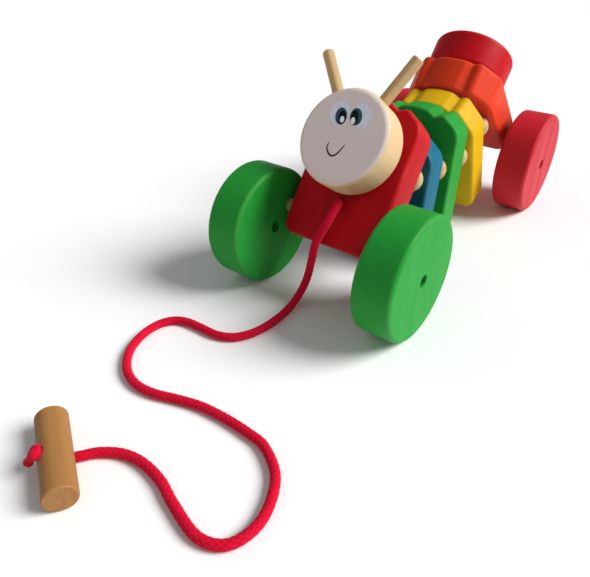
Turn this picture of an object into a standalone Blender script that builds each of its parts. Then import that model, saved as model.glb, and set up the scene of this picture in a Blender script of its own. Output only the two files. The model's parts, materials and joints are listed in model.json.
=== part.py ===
"""A pull-along inchworm: painted wooden blocks strung on elastic over eccentric wheels.

X runs across the toy along its axles, +Y points from the head to the tail and +Z is up.
The origin lies on the floor, midway between the front and the rear wheels. Left and right
are the inchworm's own, so its left side is at +X. Lengths are in metres, angles in degrees.
"""

import math

import bmesh
import bpy
from mathutils import Matrix, Vector

# Wheels and axles
WHEEL_RADIUS = 0.030
WHEEL_WIDTH = 0.0194
WHEEL_INNER_FACE = 0.0322  # from the middle of the toy
WHEEL_ROUNDING = 0.0022
WHEEL_SEGMENTS = 48
HUB_BORE_RADIUS = 0.0030
ECCENTRICITY = 0.0145  # from a wheel's middle to its axle
AXLE_RADIUS = 0.0035
AXLE_CHAMFER = 0.0006
AXLE_DEPTH = 0.0120  # glued into each wheel
FRONT_PHASE = 30.7  # from the front wheels' middle up to their axle

# Body blocks, seen along Y
BLOCK_HALF_WIDTH = 0.0262
BLOCK_ROUNDING = 0.0018
END_THICKNESS = 0.0182
PLATE_THICKNESS = 0.0150
BLOCK_HEIGHT = 0.0728
GREEN_HEIGHT = 0.0730
YELLOW_HEIGHT = 0.0712
BLUE_HEIGHT = 0.0638
FOOT_ROUNDING = 0.0060
HIGH_SHOULDER = 0.0090  # from the block's top down to where its sloping top meets its side
LOW_SHOULDER = 0.0150
SHOULDER_ROUNDING = 0.0100
CREASE_X = 0.0120  # two creases across the top leave three humps
CREASE_HALF_WIDTH = 0.0045
CREASE_DROP = 0.0033
CREASE_ROUNDING = 0.0018
OUTER_HUMP_DROP = 0.0015
MIDDLE_HUMP_DROP = 0.0006
HUMP_ROUNDING = 0.0035
CROWN_ROUNDING = 0.0300
FRONT_AXLE_HEIGHT = 0.0136  # above the front block's bottom
REAR_AXLE_HEIGHT = 0.0090

# How far each block leans back, nose up
FRONT_PITCH = 36.0
BLUE_PITCH = 9.0
GREEN_PITCH = 4.1
YELLOW_PITCH = -20.4
REAR_PITCH = -47.6
PITCHES = (FRONT_PITCH, BLUE_PITCH, GREEN_PITCH, YELLOW_PITCH, REAR_PITCH)

# Beads and the elastic that strings the blocks together
STRING_X = 0.0192
STRING_HEIGHT = 0.0450  # above each block's bottom
STRING_RADIUS = 0.0008
STRING_HOLE_RADIUS = 0.0016
STRING_POCKET_RADIUS = 0.0026
STRING_POCKET_DEPTH = 0.0050
STRING_KNOT = (  # depth as a share of the pocket's, and width as a multiple of the string's
    (0.15, 1.6),
    (0.30, 2.5),
    (0.55, 2.8),
    (0.80, 2.5),
    (0.95, 1.4),
    (1.10, 1.0),
)
STRING_STRAIGHT = 0.0055  # how far the string stays straight beyond a bead's middle
BEAD_RADIUS = 0.0061
BEAD_BORE_RADIUS = 0.0024
BEAD_SEGMENTS = 16
BEAD_RINGS = 8

# Head, tail and antennae
HEAD_RADIUS = 0.0225
HEAD_HEIGHT = 0.0478  # above the front block's bottom
TAIL_RADIUS = 0.0236
TAIL_HEIGHT = 0.0472
DISC_THICKNESS = 0.0183
DISC_ROUNDING = 0.0026
ANTENNA_RADIUS = 0.0028
ANTENNA_ROUNDING = 0.0008
ANTENNA_DEPTH = 0.0080
LEFT_ANTENNA_LEAN = 23.0
LEFT_ANTENNA_REACH = 0.0228  # beyond the head's rim
RIGHT_ANTENNA_LEAN = -37.0
RIGHT_ANTENNA_REACH = 0.0258

# Pull cord and handle
CORD_RADIUS = 0.0020
CORD_HOLE_HEIGHT = 0.0215
CORD_HOLE_RADIUS = 0.0026
CORD_POINT_SPACING = 0.0080
INNER_KNOT = (0.0040, 0.0037)  # radius and length
HANDLE_KNOT = (0.0036, 0.0048)
KNOT_SHAPE = (0.5, 0.78, 0.95, 1.0, 0.95, 0.78, 0.5)
KNOT_TAIL = (0.0025, 0.0042)
INNER_TAIL = (0.35, -0.55, -0.76)
HANDLE_TAIL = (-0.45, -0.30, -0.84)
HANDLE_RADIUS = 0.0061
HANDLE_LENGTH = 0.0390
HANDLE_ROUNDING = 0.0007
HANDLE_MIDDLE = (-0.0174, -0.2216)
HANDLE_TURN = -27.7
HANDLE_ROLL = -38.0

GAP = 0.0003  # between pieces that touch or are glued
CUT_BEYOND = 0.0040  # how far a cutter sticks out of the face it cuts
SMOOTH_ANGLE = 35.0

# The free cord's route: over the front block's face, down to the floor and out to the handle
CORD_ROUTE = (
    (0.0021, -0.0734, 0.0510),
    (0.0024, -0.0778, 0.0488),
    (0.0014, -0.0811, 0.0444),
    (-0.0005, -0.0833, 0.0393),
    (-0.0027, -0.0852, 0.0331),
    (-0.0039, -0.0869, 0.0240),
    (-0.0052, -0.0893, 0.0138),
    (-0.0067, -0.0935, 0.0064),
    (-0.0070, -0.1001, 0.0027),
    (-0.0066, -0.1084, 0.0021),
    (-0.0071, -0.1186, 0.0021),
    (-0.0095, -0.1272, 0.0021),
    (-0.0142, -0.1337, 0.0021),
    (-0.0216, -0.1372, 0.0021),
    (-0.0311, -0.1379, 0.0021),
    (-0.0398, -0.1388, 0.0021),
    (-0.0460, -0.1420, 0.0021),
    (-0.0494, -0.1481, 0.0021),
    (-0.0497, -0.1568, 0.0021),
    (-0.0467, -0.1660, 0.0021),
    (-0.0412, -0.1731, 0.0021),
    (-0.0339, -0.1780, 0.0021),
    (-0.0253, -0.1800, 0.0021),
    (-0.0161, -0.1789, 0.0021),
    (-0.0064, -0.1755, 0.0021),
    (0.0040, -0.1724, 0.0021),
    (0.0159, -0.1710, 0.0021),
    (0.0279, -0.1709, 0.0021),
    (0.0380, -0.1722, 0.0021),
    (0.0497, -0.1801, 0.0021),
    (0.0560, -0.1945, 0.0021),
    (0.0534, -0.2067, 0.0021),
    (0.0436, -0.2113, 0.0021),
    (0.0286, -0.2081, 0.0021),
    (0.0181, -0.2047, 0.0021),
    (0.0075, -0.2036, 0.0021),
    (-0.0016, -0.2053, 0.0021),
    (-0.0091, -0.2100, 0.0021),
    (-0.0130, -0.2148, 0.0022),
)

TO_X = Matrix.Rotation(math.radians(90), 4, "Y")
TO_Y = Matrix.Rotation(math.radians(-90), 4, "X")


# ---- Helpers ----


def clear_scene():
    for obj in list(bpy.data.objects):
        bpy.data.objects.remove(obj, do_unlink=True)


def paint(name, colour, roughness, metallic=0.0):
    """A plain Principled material."""
    material = bpy.data.materials.new(name)
    material.use_nodes = True
    shader = material.node_tree.nodes["Principled BSDF"]
    shader.inputs["Base Color"].default_value = (*colour, 1.0)
    shader.inputs["Roughness"].default_value = roughness
    shader.inputs["Metallic"].default_value = metallic
    return material


def pivot(name, location, pitch=0.0, parent=None):
    """An empty at a joint's axis, leaning back by pitch, that carries one body's pieces."""
    empty = bpy.data.objects.new(name, None)
    empty.location = location
    empty.rotation_euler.x = -math.radians(pitch)
    empty.parent = parent
    bpy.context.scene.collection.objects.link(empty)
    return empty


def piece(name, bm, material, parent=None, location=(0, 0, 0)):
    """Turn a bmesh into an object with smooth round faces and sharp edges."""
    bmesh.ops.recalc_face_normals(bm, faces=bm.faces)
    mesh = bpy.data.meshes.new(name)
    bm.to_mesh(mesh)
    bm.free()
    mesh.shade_smooth()
    mesh.set_sharp_from_angle(angle=math.radians(SMOOTH_ANGLE))
    mesh.materials.append(material)
    obj = bpy.data.objects.new(name, mesh)
    obj.parent = parent
    obj.location = location
    bpy.context.scene.collection.objects.link(obj)
    return obj


def turned(profile, segments, turn=None, closed=False):
    """Turn (radius, height) points about Z. A closed profile leaves a bore through the middle."""
    bm = bmesh.new()
    rings = []
    for radius, height in profile:
        if radius == 0:
            rings.append([bm.verts.new((0, 0, height))])
            continue
        angles = [2 * math.pi * i / segments for i in range(segments)]
        rings.append([bm.verts.new((radius * math.cos(a), radius * math.sin(a), height)) for a in angles])
    pairs = list(zip(rings, rings[1:]))
    if closed:
        pairs.append((rings[-1], rings[0]))
    for lower, upper in pairs:
        for i in range(segments):
            j = (i + 1) % segments
            below = [lower[k % len(lower)] for k in (i, j)]
            above = [upper[k % len(upper)] for k in (j, i)]
            bm.faces.new(list(dict.fromkeys(below + above)))
    if turn:
        bmesh.ops.transform(bm, matrix=turn, verts=bm.verts)
    return bm


def rounded_profile(radius, low, high, rounding, bore=0.0, steps=2):
    """The outline of a short cylinder with rounded rims, from its bottom to its top."""
    points = [(bore, low)]
    for i in range(steps + 1):
        a = math.radians(90) * i / steps
        points.append((radius - rounding + rounding * math.sin(a), low + rounding - rounding * math.cos(a)))
    for i in range(steps + 1):
        a = math.radians(90) * i / steps
        points.append((radius - rounding + rounding * math.cos(a), high - rounding + rounding * math.sin(a)))
    points.append((bore, high))
    return points


def fillet(before, corner, after, radius, steps):
    """Points along the arc that rounds one corner of an outline."""
    to_before = (before - corner).normalized()
    to_after = (after - corner).normalized()
    half = to_before.angle(to_after) / 2
    middle = corner + (to_before + to_after).normalized() * radius / math.sin(half)
    start = corner + to_before * radius / math.tan(half) - middle
    end = corner + to_after * radius / math.tan(half) - middle
    sweep = start.angle_signed(end)
    return [middle + Matrix.Rotation(-sweep * i / steps, 2) @ start for i in range(steps + 1)]


def block_outline(height, shoulder):
    """A block's outline: round lower corners, and three humps with a crease between each two."""
    right = (
        (BLOCK_HALF_WIDTH, 0.0, FOOT_ROUNDING, 3),
        (BLOCK_HALF_WIDTH, height - shoulder, SHOULDER_ROUNDING, 4),
        (CREASE_X + CREASE_HALF_WIDTH, height - OUTER_HUMP_DROP, HUMP_ROUNDING, 2),
        (CREASE_X, height - CREASE_DROP, CREASE_ROUNDING, 2),
        (CREASE_X - CREASE_HALF_WIDTH, height - MIDDLE_HUMP_DROP, HUMP_ROUNDING, 2),
    )
    left = tuple((-x, z, radius, steps) for x, z, radius, steps in reversed(right))
    corners = right + ((0.0, height + MIDDLE_HUMP_DROP, CROWN_ROUNDING, 1),) + left
    places = [Vector((x, z)) for x, z, _, _ in corners]
    points = []
    for i, (_, _, radius, steps) in enumerate(corners):
        after = places[(i + 1) % len(places)]
        points += fillet(places[i - 1], places[i], after, radius, steps)
    return points


def slab(outline, thickness, base):
    """Extrude an outline along Y, standing base below the origin, and round both its rims."""
    bm = bmesh.new()
    front = bm.faces.new([bm.verts.new((p.x, -thickness / 2, p.y - base)) for p in outline])
    extruded = bmesh.ops.extrude_face_region(bm, geom=[front], use_keep_orig=True)
    moved = [item for item in extruded["geom"] if isinstance(item, bmesh.types.BMVert)]
    bmesh.ops.translate(bm, verts=moved, vec=(0, thickness, 0))
    rims = [e for e in bm.edges if abs(e.verts[0].co.y - e.verts[1].co.y) < thickness / 2]
    bmesh.ops.bevel(bm, geom=rims, offset=BLOCK_ROUNDING, segments=2, profile=0.5, affect="EDGES")
    return bm


def drill(target, name, start, end, radius, segments=20):
    """Cut a round hole from start to end, given in the target's own axes."""
    start = Vector(start)
    along = Vector(end) - start
    profile = ((0, 0), (radius, 0), (radius, along.length), (0, along.length))
    turn = Vector((0, 0, 1)).rotation_difference(along).to_matrix().to_4x4()
    shape = turned(profile, segments, turn)
    cutter = piece(f"{target.name}_{name}", shape, target.active_material, target, start)
    cutter.hide_render = True
    cutter.display_type = "WIRE"
    cut = target.modifiers.new(name, "BOOLEAN")
    cut.operation = "DIFFERENCE"
    cut.object = cutter


def tube(name, points, radius, material, widths=None):
    """A round tube along points, which may swell by the factors in widths."""
    curve = bpy.data.curves.new(name, "CURVE")
    curve.dimensions = "3D"
    curve.bevel_depth = radius
    curve.bevel_resolution = 2
    curve.use_fill_caps = True
    curve.materials.append(material)
    spline = curve.splines.new("POLY")
    spline.points.add(len(points) - 1)
    for i, point in enumerate(points):
        spline.points[i].co = (*point, 1.0)
        spline.points[i].radius = widths[i] if widths else 1.0
    spline.use_smooth = True
    obj = bpy.data.objects.new(name, curve)
    bpy.context.scene.collection.objects.link(obj)
    return obj


def smooth_route(route, spacing, fine=24):
    """Points at an even spacing along a smooth curve through the route."""
    knots = [Vector(p) for p in route]
    knots = [2 * knots[0] - knots[1]] + knots + [2 * knots[-1] - knots[-2]]
    dense = []
    for a, b, c, d in zip(knots, knots[1:], knots[2:], knots[3:]):
        for i in range(fine):
            t = i / fine
            bend = (2 * a - 5 * b + 4 * c - d) * t**2 + (3 * b - a - 3 * c + d) * t**3
            dense.append(b + ((c - a) * t + bend) / 2)
    dense.append(knots[-2])
    reached = [0.0]
    for p, q in zip(dense, dense[1:]):
        reached.append(reached[-1] + (q - p).length)
    count = round(reached[-1] / spacing)
    points = []
    k = 0
    for i in range(count + 1):
        wanted = reached[-1] * i / count
        while k < len(dense) - 2 and reached[k + 1] < wanted:
            k += 1
        share = (wanted - reached[k]) / (reached[k + 1] - reached[k])
        points.append(dense[k].lerp(dense[k + 1], min(share, 1.0)))
    return points


def back_of(pitch):
    """The direction from a block's front face to its back face."""
    return Vector((0, math.cos(math.radians(pitch)), -math.sin(math.radians(pitch))))


def up_of(pitch):
    """The direction from a block's bottom to its top."""
    return Vector((0, math.sin(math.radians(pitch)), math.cos(math.radians(pitch))))


# ---- Layout: each block's string line, from the front axle back to the rear axle ----


def layout():
    """Place the joints. A bead's middle is the hinge between the blocks on its two sides."""
    lift = ECCENTRICITY * math.sin(math.radians(FRONT_PHASE))
    front_axle = Vector((0, ECCENTRICITY * math.cos(math.radians(FRONT_PHASE)), WHEEL_RADIUS + lift))
    reach = BEAD_RADIUS + GAP
    line = front_axle + up_of(FRONT_PITCH) * (STRING_HEIGHT - FRONT_AXLE_HEIGHT)
    hinges = [line + back_of(FRONT_PITCH) * (END_THICKNESS / 2 + reach)]
    for pitch in (BLUE_PITCH, GREEN_PITCH, YELLOW_PITCH):
        hinges.append(hinges[-1] + back_of(pitch) * (PLATE_THICKNESS + 2 * reach))
    line = hinges[-1] + back_of(REAR_PITCH) * (END_THICKNESS / 2 + reach)
    rear_axle = line - up_of(REAR_PITCH) * (STRING_HEIGHT - REAR_AXLE_HEIGHT)
    rear_phase = math.asin((rear_axle.z - WHEEL_RADIUS) / ECCENTRICITY)
    rear_wheel_y = rear_axle.y - ECCENTRICITY * math.cos(rear_phase)
    centring = Vector((0, -rear_wheel_y / 2, 0))
    hinges = [hinge + centring for hinge in hinges]
    return front_axle + centring, hinges, rear_axle + centring, math.degrees(rear_phase)


FRONT_AXLE, HINGES, REAR_AXLE, REAR_PHASE = layout()


# ---- Sub-parts ----


def make_wheelset(end, axle, phase, wheel_paint, wood):
    """An axle with a wheel glued off-centre on each end."""
    frame = pivot(f"{end}_wheelset", axle)
    half = WHEEL_INNER_FACE + AXLE_DEPTH
    profile = rounded_profile(AXLE_RADIUS, -half, half, AXLE_CHAMFER, steps=1)
    piece(f"{end}_axle", turned(profile, 24, TO_X), wood, frame)
    middle = Vector((0, -math.cos(math.radians(phase)), -math.sin(math.radians(phase)))) * ECCENTRICITY
    for side, sign in (("left", 1), ("right", -1)):
        low, high = sorted((sign * WHEEL_INNER_FACE, sign * (WHEEL_INNER_FACE + WHEEL_WIDTH)))
        profile = rounded_profile(WHEEL_RADIUS, low, high, WHEEL_ROUNDING, HUB_BORE_RADIUS)
        shape = turned(profile, WHEEL_SEGMENTS, TO_X, closed=True)
        wheel = piece(f"{end}_wheel_{side}", shape, wheel_paint, frame, middle)
        mouth = Vector((sign * (WHEEL_INNER_FACE - CUT_BEYOND), 0, 0)) - middle
        bottom = Vector((sign * (half + GAP), 0, 0)) - middle
        drill(wheel, "axle_socket", mouth, bottom, AXLE_RADIUS + GAP)


def drill_string_holes(block, height, thickness, pocket=0):
    """Drill the two elastic holes, and a pocket for the knot on the side that pocket points to."""
    beyond = thickness / 2 + CUT_BEYOND
    for side, x in (("left", STRING_X), ("right", -STRING_X)):
        drill(block, f"string_hole_{side}", (x, -beyond, height), (x, beyond, height), STRING_HOLE_RADIUS, 12)
        if pocket:
            floor = pocket * (thickness / 2 - STRING_POCKET_DEPTH)
            drill(
                block,
                f"knot_pocket_{side}",
                (x, floor, height),
                (x, pocket * beyond, height),
                STRING_POCKET_RADIUS,
                16,
            )


def make_end_block(name, frame, axle_height, shoulder, pocket, colour):
    """A thick block that carries an axle. Its origin is the middle of its axle hole."""
    outline = block_outline(BLOCK_HEIGHT, shoulder)
    block = piece(name, slab(outline, END_THICKNESS, axle_height), colour, frame)
    side = BLOCK_HALF_WIDTH + CUT_BEYOND
    drill(block, "axle_hole", (-side, 0, 0), (side, 0, 0), AXLE_RADIUS + GAP, 24)
    drill_string_holes(block, STRING_HEIGHT - axle_height, END_THICKNESS, pocket)
    return block


def make_disc(name, frame, radius, height, side, material):
    """A round block glued to an end block's outer face, on the side that side points to."""
    near = END_THICKNESS / 2 + GAP
    low, high = sorted((side * near, side * (near + DISC_THICKNESS)))
    profile = rounded_profile(radius, low, high, DISC_ROUNDING)
    return piece(name, turned(profile, WHEEL_SEGMENTS, TO_Y), material, frame, (0, 0, height))


def make_antennae(head, frame, height, wood):
    """Two dowels set into the head's rim, halfway through its thickness."""
    middle = -(END_THICKNESS / 2 + GAP + DISC_THICKNESS / 2)
    antennae = (
        ("left", LEFT_ANTENNA_LEAN, LEFT_ANTENNA_REACH),
        ("right", RIGHT_ANTENNA_LEAN, RIGHT_ANTENNA_REACH),
    )
    for side, lean, reach in antennae:
        outward = Vector((math.sin(math.radians(lean)), 0, math.cos(math.radians(lean))))
        root = HEAD_RADIUS - ANTENNA_DEPTH
        tip = HEAD_RADIUS + reach
        profile = rounded_profile(ANTENNA_RADIUS, root, tip, ANTENNA_ROUNDING)
        turn = Vector((0, 0, 1)).rotation_difference(outward).to_matrix().to_4x4()
        piece(f"antenna_{side}", turned(profile, 16, turn), wood, frame, (0, middle, height))
        centre = Vector((0, middle, 0))
        inner = centre + outward * (root - GAP)
        drill(head, f"antenna_socket_{side}", inner, centre + outward * tip, ANTENNA_RADIUS + GAP)


def make_plate(colour_name, hinge, pitch, height, shoulder, colour):
    """A thin block in the middle of the body. Its frame's origin is the hinge at its front."""
    frame = pivot(f"{colour_name}_body", hinge, pitch)
    outline = block_outline(height, shoulder)
    plate = piece(
        f"{colour_name}_plate",
        slab(outline, PLATE_THICKNESS, STRING_HEIGHT),
        colour,
        frame,
        (0, BEAD_RADIUS + GAP + PLATE_THICKNESS / 2, 0),
    )
    drill_string_holes(plate, 0.0, PLATE_THICKNESS)


def make_beads(number, hinge, pitch, wood):
    """Two round beads side by side, threaded between two blocks."""
    frame = pivot(f"bead_row_{number}", hinge, pitch)
    mouth = math.degrees(math.asin(BEAD_BORE_RADIUS / BEAD_RADIUS))
    angles = [math.radians(mouth + (180 - 2 * mouth) * i / BEAD_RINGS) for i in range(BEAD_RINGS + 1)]
    profile = [(BEAD_RADIUS * math.sin(a), -BEAD_RADIUS * math.cos(a)) for a in angles]
    for side, x in (("left", STRING_X), ("right", -STRING_X)):
        shape = turned(profile, BEAD_SEGMENTS, TO_Y, closed=True)
        piece(f"bead_{number}_{side}", shape, wood, frame, (x, 0, 0))


def make_strings(material):
    """The two elastic cords, each knotted in a pocket under the head and under the tail."""
    front = back_of(FRONT_PITCH)
    rear = back_of(REAR_PITCH)
    reach = END_THICKNESS + BEAD_RADIUS + GAP
    depths = [reach - share * STRING_POCKET_DEPTH for share, _ in STRING_KNOT]
    swell = [width for _, width in STRING_KNOT]
    head_end = [HINGES[0] - front * depth for depth in depths]
    tail_end = [HINGES[3] + rear * depth for depth in reversed(depths)]
    bends = []
    for hinge, before, after in zip(HINGES, PITCHES, PITCHES[1:]):
        bends += [hinge - back_of(before) * STRING_STRAIGHT, hinge.copy()]
        bends.append(hinge + back_of(after) * STRING_STRAIGHT)
    widths = swell + [1.0] * len(bends) + swell[::-1]
    for side, x in (("left", STRING_X), ("right", -STRING_X)):
        points = [p + Vector((x, 0, 0)) for p in head_end + bends + tail_end]
        tube(f"elastic_string_{side}", points, STRING_RADIUS, material, widths)


def handle_through():
    """The direction of the handle's cross hole, from its upper mouth down to the one that faces the toy."""
    turn = math.radians(HANDLE_TURN)
    roll = math.radians(HANDLE_ROLL)
    return Vector((-math.sin(turn) * math.cos(roll), math.cos(turn) * math.cos(roll), math.sin(roll)))


def knot(name, start, along, tail, size, material):
    """A cord's end knot, pulled up against the piece it holds, with the cut end beyond it."""
    radius, length = size
    points = [start + along * (length * i / (len(KNOT_SHAPE) - 1)) for i in range(len(KNOT_SHAPE))]
    points += [points[-1] + tail * d for d in KNOT_TAIL]
    widths = [share * radius / CORD_RADIUS for share in KNOT_SHAPE] + [1.0] * len(KNOT_TAIL)
    tube(name, points, CORD_RADIUS, material, widths)


def make_pull_cord(cord):
    """The braided cord, from its knot behind the front block to its knot behind the handle."""
    back = back_of(FRONT_PITCH)
    hole = FRONT_AXLE + up_of(FRONT_PITCH) * (CORD_HOLE_HEIGHT - FRONT_AXLE_HEIGHT)
    wall = END_THICKNESS / 2
    through = handle_through()
    handle = Vector((*HANDLE_MIDDLE, HANDLE_RADIUS))
    route = [hole + back * wall, hole, hole - back * wall]
    route += smooth_route([hole - back * (wall + GAP)] + list(CORD_ROUTE), CORD_POINT_SPACING)[1:]
    route += [handle + through * HANDLE_RADIUS, handle, handle - through * HANDLE_RADIUS]
    tube("pull_cord", route, CORD_RADIUS, cord)
    behind = hole + back * (wall + GAP)
    knot("pull_cord_inner_knot", behind, back, Vector(INNER_TAIL), INNER_KNOT, cord)
    above = handle - through * (HANDLE_RADIUS + GAP)
    knot("pull_cord_handle_knot", above, -through, Vector(HANDLE_TAIL), HANDLE_KNOT, cord)


def make_handle(wood):
    """A short dowel lying on the floor, with a cross hole for the cord."""
    half = HANDLE_LENGTH / 2
    profile = rounded_profile(HANDLE_RADIUS, -half, half, HANDLE_ROUNDING)
    handle = piece("pull_handle", turned(profile, 24, TO_X), wood, None, (*HANDLE_MIDDLE, HANDLE_RADIUS))
    handle.rotation_euler = (math.radians(HANDLE_ROLL), 0, math.radians(HANDLE_TURN))
    beyond = HANDLE_RADIUS + CUT_BEYOND
    drill(handle, "cord_hole", (0, -beyond, 0), (0, beyond, 0), CORD_HOLE_RADIUS)


# ---- Assembly ----


def main():
    clear_scene()
    natural = paint("natural_wood", (0.62, 0.42, 0.22), 0.55)
    head_wood = paint("head_wood", (0.72, 0.60, 0.50), 0.5)
    handle_wood = paint("handle_wood", (0.40, 0.22, 0.10), 0.5)
    red = paint("red_paint", (0.65, 0.02, 0.03), 0.4)
    blue = paint("blue_paint", (0.02, 0.22, 0.36), 0.4)
    green = paint("green_paint", (0.05, 0.48, 0.09), 0.4)
    yellow = paint("yellow_paint", (0.66, 0.50, 0.02), 0.4)
    orange = paint("orange_paint", (0.75, 0.09, 0.03), 0.4)
    cord_red = paint("cord_red", (0.50, 0.005, 0.02), 0.8)
    elastic = paint("elastic_white", (0.75, 0.73, 0.68), 0.7)

    make_wheelset("front", FRONT_AXLE, FRONT_PHASE, green, natural)
    make_wheelset("rear", REAR_AXLE, REAR_PHASE, red, natural)

    front = pivot("front_body", FRONT_AXLE, FRONT_PITCH)
    front_block = make_end_block("front_block", front, FRONT_AXLE_HEIGHT, HIGH_SHOULDER, -1, red)
    hole = CORD_HOLE_HEIGHT - FRONT_AXLE_HEIGHT
    beyond = END_THICKNESS / 2 + CUT_BEYOND
    drill(front_block, "cord_hole", (0, -beyond, hole), (0, beyond, hole), CORD_HOLE_RADIUS)
    head_height = HEAD_HEIGHT - FRONT_AXLE_HEIGHT
    head = make_disc("head_disc", front, HEAD_RADIUS, head_height, -1, head_wood)
    make_antennae(head, front, head_height, natural)

    make_plate("blue", HINGES[0], BLUE_PITCH, BLUE_HEIGHT, HIGH_SHOULDER, blue)
    make_plate("green", HINGES[1], GREEN_PITCH, GREEN_HEIGHT, HIGH_SHOULDER, green)
    make_plate("yellow", HINGES[2], YELLOW_PITCH, YELLOW_HEIGHT, LOW_SHOULDER, yellow)

    rear = pivot("rear_body", REAR_AXLE, REAR_PITCH)
    make_end_block("rear_block", rear, REAR_AXLE_HEIGHT, LOW_SHOULDER, 1, orange)
    make_disc("tail_disc", rear, TAIL_RADIUS, TAIL_HEIGHT - REAR_AXLE_HEIGHT, 1, red)

    for number, (hinge, before, after) in enumerate(zip(HINGES, PITCHES, PITCHES[1:]), start=1):
        make_beads(number, hinge, (before + after) / 2, natural)
    make_strings(elastic)
    make_handle(handle_wood)
    make_pull_cord(cord_red)


main()
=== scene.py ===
"""Looks for the pull-along inchworm: painted and bare wood, elastic, braided cord and a studio.

Every piece is built in its body's own axes (X across the toy, Y towards the tail, Z up the block)
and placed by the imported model's joints. Lengths are in metres, angles in degrees.
"""

import json
import math

import bmesh
import bpy
from mathutils import Matrix, Vector


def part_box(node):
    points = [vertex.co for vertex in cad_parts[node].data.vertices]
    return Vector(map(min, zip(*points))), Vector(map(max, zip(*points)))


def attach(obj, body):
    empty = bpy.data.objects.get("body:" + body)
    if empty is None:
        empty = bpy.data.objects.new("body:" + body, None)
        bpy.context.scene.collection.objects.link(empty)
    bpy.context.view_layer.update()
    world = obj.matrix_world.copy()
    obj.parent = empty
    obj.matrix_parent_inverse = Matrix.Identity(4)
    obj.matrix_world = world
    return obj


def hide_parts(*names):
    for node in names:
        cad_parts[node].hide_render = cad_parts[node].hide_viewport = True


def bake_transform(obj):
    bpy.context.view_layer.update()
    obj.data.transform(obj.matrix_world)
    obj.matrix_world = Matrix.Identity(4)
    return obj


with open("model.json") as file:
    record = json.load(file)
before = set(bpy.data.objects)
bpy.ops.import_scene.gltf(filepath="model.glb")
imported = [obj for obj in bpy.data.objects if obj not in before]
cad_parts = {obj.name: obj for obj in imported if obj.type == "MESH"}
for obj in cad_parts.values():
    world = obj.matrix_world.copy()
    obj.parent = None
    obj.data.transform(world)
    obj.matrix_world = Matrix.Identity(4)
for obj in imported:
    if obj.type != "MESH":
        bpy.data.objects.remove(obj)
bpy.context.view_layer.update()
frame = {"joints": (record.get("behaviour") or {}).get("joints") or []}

# ---- The toy's dimensions ----

GAP = 0.0003
WHEEL_RADIUS = 0.030
WHEEL_WIDTH = 0.0194
WHEEL_INNER_FACE = 0.0322
WHEEL_ROUNDING = 0.0022
HUB_BORE_RADIUS = 0.0030
AXLE_RADIUS = 0.0035
AXLE_DEPTH = 0.0120
BLOCK_HALF_WIDTH = 0.0262
BLOCK_ROUNDING = 0.0018
END_THICKNESS = 0.0182
PLATE_THICKNESS = 0.0150
BLOCK_HEIGHT = 0.0728
FRONT_AXLE_HEIGHT = 0.0136
REAR_AXLE_HEIGHT = 0.0090
PITCHES = (36.0, 9.0, 4.1, -20.4, -47.6)
STRING_X = 0.0192
STRING_HEIGHT = 0.0450
STRING_RADIUS = 0.0008
STRING_HOLE_RADIUS = 0.0016
BEAD_RADIUS = 0.0061
BEAD_BORE_RADIUS = 0.0024
HEAD_RADIUS = 0.0225
HEAD_HEIGHT = 0.0478
TAIL_RADIUS = 0.0236
TAIL_HEIGHT = 0.0472
DISC_THICKNESS = 0.0183
DISC_ROUNDING = 0.0026
ANTENNA_RADIUS = 0.0028
ANTENNA_DEPTH = 0.0080
ANTENNAE = (("left", 23.0, 0.0228), ("right", -37.0, 0.0258))
CORD_RADIUS = 0.0020
CORD_HOLE_HEIGHT = 0.0215
CORD_HOLE_RADIUS = 0.0026
HANDLE_RADIUS = 0.0061
HANDLE_LENGTH = 0.0390
HANDLE_MIDDLE = (-0.0174, -0.2216)
HANDLE_TURN = -27.7
HANDLE_ROLL = -38.0

CORD_ROUTE = (
    (0.0021, -0.0734, 0.0510),
    (0.0024, -0.0778, 0.0488),
    (0.0014, -0.0811, 0.0444),
    (-0.0005, -0.0833, 0.0393),
    (-0.0027, -0.0852, 0.0331),
    (-0.0039, -0.0869, 0.0240),
    (-0.0052, -0.0893, 0.0138),
    (-0.0067, -0.0935, 0.0064),
    (-0.0070, -0.1001, 0.0027),
    (-0.0066, -0.1084, 0.0021),
    (-0.0071, -0.1186, 0.0021),
    (-0.0095, -0.1272, 0.0021),
    (-0.0142, -0.1337, 0.0021),
    (-0.0216, -0.1372, 0.0021),
    (-0.0311, -0.1379, 0.0021),
    (-0.0398, -0.1388, 0.0021),
    (-0.0460, -0.1420, 0.0021),
    (-0.0494, -0.1481, 0.0021),
    (-0.0497, -0.1568, 0.0021),
    (-0.0467, -0.1660, 0.0021),
    (-0.0412, -0.1731, 0.0021),
    (-0.0339, -0.1780, 0.0021),
    (-0.0253, -0.1800, 0.0021),
    (-0.0161, -0.1789, 0.0021),
    (-0.0064, -0.1755, 0.0021),
    (0.0040, -0.1724, 0.0021),
    (0.0159, -0.1710, 0.0021),
    (0.0279, -0.1709, 0.0021),
    (0.0380, -0.1722, 0.0021),
    (0.0497, -0.1801, 0.0021),
    (0.0560, -0.1945, 0.0021),
    (0.0534, -0.2067, 0.0021),
    (0.0436, -0.2113, 0.0021),
    (0.0286, -0.2081, 0.0021),
    (0.0181, -0.2047, 0.0021),
    (0.0075, -0.2036, 0.0021),
    (-0.0016, -0.2053, 0.0021),
    (-0.0091, -0.2100, 0.0021),
    (-0.0130, -0.2148, 0.0022),
)

TO_X = Matrix.Rotation(math.radians(90), 4, "Y")
TO_Y = Matrix.Rotation(math.radians(-90), 4, "X")
JOINTS = {j["name"]: Vector(j["pos_m"]) for j in frame["joints"]}
FRONT_AXLE = JOINTS["front_wheels_roll"]
REAR_AXLE = JOINTS["rear_wheels_roll"]
FLEXES = ("front_flex", "blue_green_flex", "green_yellow_flex", "rear_flex")
HINGES = [JOINTS[name] for name in FLEXES]


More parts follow.
